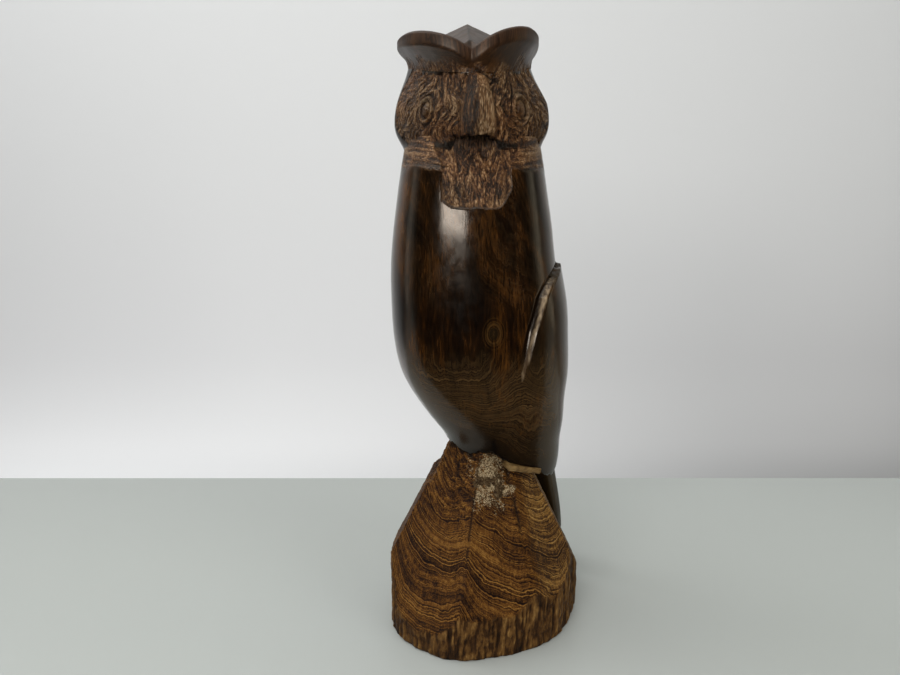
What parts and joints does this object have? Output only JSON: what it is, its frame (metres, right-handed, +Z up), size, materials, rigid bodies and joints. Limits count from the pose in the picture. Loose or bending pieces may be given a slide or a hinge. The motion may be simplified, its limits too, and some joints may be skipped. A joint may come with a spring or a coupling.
{
  "type": "carved owl figurine",
  "caption": "Polished carved wooden owl standing on a rough hewn log stump, with a sloping pegged and glued seat.",
  "frame": {"origin": "middle of the stump's flat underside", "axes": "+Z up along the figure, -Y the way the face looks, +X the side of the tail"},
  "size_m": [0.1092, 0.1105, 0.322],
  "materials": {
    "raw_ironwood": "matt, hewn",
    "polished_ironwood": "oiled and buffed to a high gloss",
    "sawdust_filler": "matt, granular",
    "pale_shim": "matt, sawn",
    "peg_wood": "plain turned"
  },
  "bodies": {
    "root": {"base_block": "raw_ironwood", "owl_figure": "polished_ironwood", "joint_filler": "sawdust_filler", "seam_shim": "pale_shim", "pegs": "peg_wood"}
  },
  "joints": []
}
